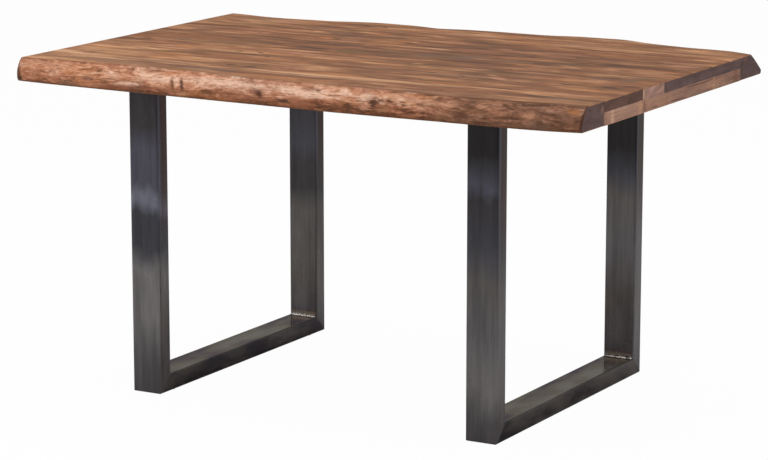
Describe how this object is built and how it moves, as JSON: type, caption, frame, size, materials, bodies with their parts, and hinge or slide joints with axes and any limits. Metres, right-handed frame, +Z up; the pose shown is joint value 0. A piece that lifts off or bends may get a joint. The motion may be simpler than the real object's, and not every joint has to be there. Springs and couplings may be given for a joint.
{
  "type": "live edge dining table",
  "caption": "Rectangular dining table with a plank top whose long sides keep the tree's wavy edge, on two closed rectangular skid frames of steel tube.",
  "frame": {"origin": "on the floor, under the middle of the table", "axes": "+X along the table, +Y from the front to the back, +Z up"},
  "size_m": [1.408, 0.9803, 0.76],
  "materials": {
    "panel_wood": "satin lacquered striped hardwood",
    "live_edge_wood": "satin lacquered sapwood and bark line",
    "end_strip_wood": "satin lacquered hardwood",
    "batten_wood": "plain oiled hardwood",
    "frame_steel": "dark raw steel under clear lacquer",
    "weld_steel": "bare weld metal under clear lacquer",
    "glide_plastic": "matte black nylon",
    "plated_steel": "zinc plated"
  },
  "bodies": {
    "root": {"back_live_edge_board": "live_edge_wood", "front_live_edge_board": "live_edge_wood", "left_back_post": "frame_steel", "left_batten_screws": "plated_steel", "left_cross_batten": "batten_wood", "left_end_strip_back": "end_strip_wood", "left_end_strip_front": "end_strip_wood", "left_floor_rail": "frame_steel", "left_frame_bolts": "plated_steel", "left_frame_washers": "plated_steel", "left_frame_welds": "weld_steel", "left_front_post": "frame_steel", "left_mounting_plate": "frame_steel", "left_rail_glides": "glide_plastic", "left_threaded_inserts": "plated_steel", "panel_board_1": "panel_wood", "panel_board_2": "panel_wood", "panel_board_3": "panel_wood", "panel_board_4": "panel_wood", "panel_board_5": "panel_wood", "panel_board_6": "panel_wood", "panel_board_7": "panel_wood", "panel_board_8": "panel_wood", "right_back_post": "frame_steel", "right_batten_screws": "plated_steel", "right_cross_batten": "batten_wood", "right_end_strip_back": "end_strip_wood", "right_end_strip_front": "end_strip_wood", "right_floor_rail": "frame_steel", "right_frame_bolts": "plated_steel", "right_frame_washers": "plated_steel", "right_frame_welds": "weld_steel", "right_front_post": "frame_steel", "right_mounting_plate": "frame_steel", "right_rail_glides": "glide_plastic", "right_threaded_inserts": "plated_steel"}
  },
  "joints": []
}
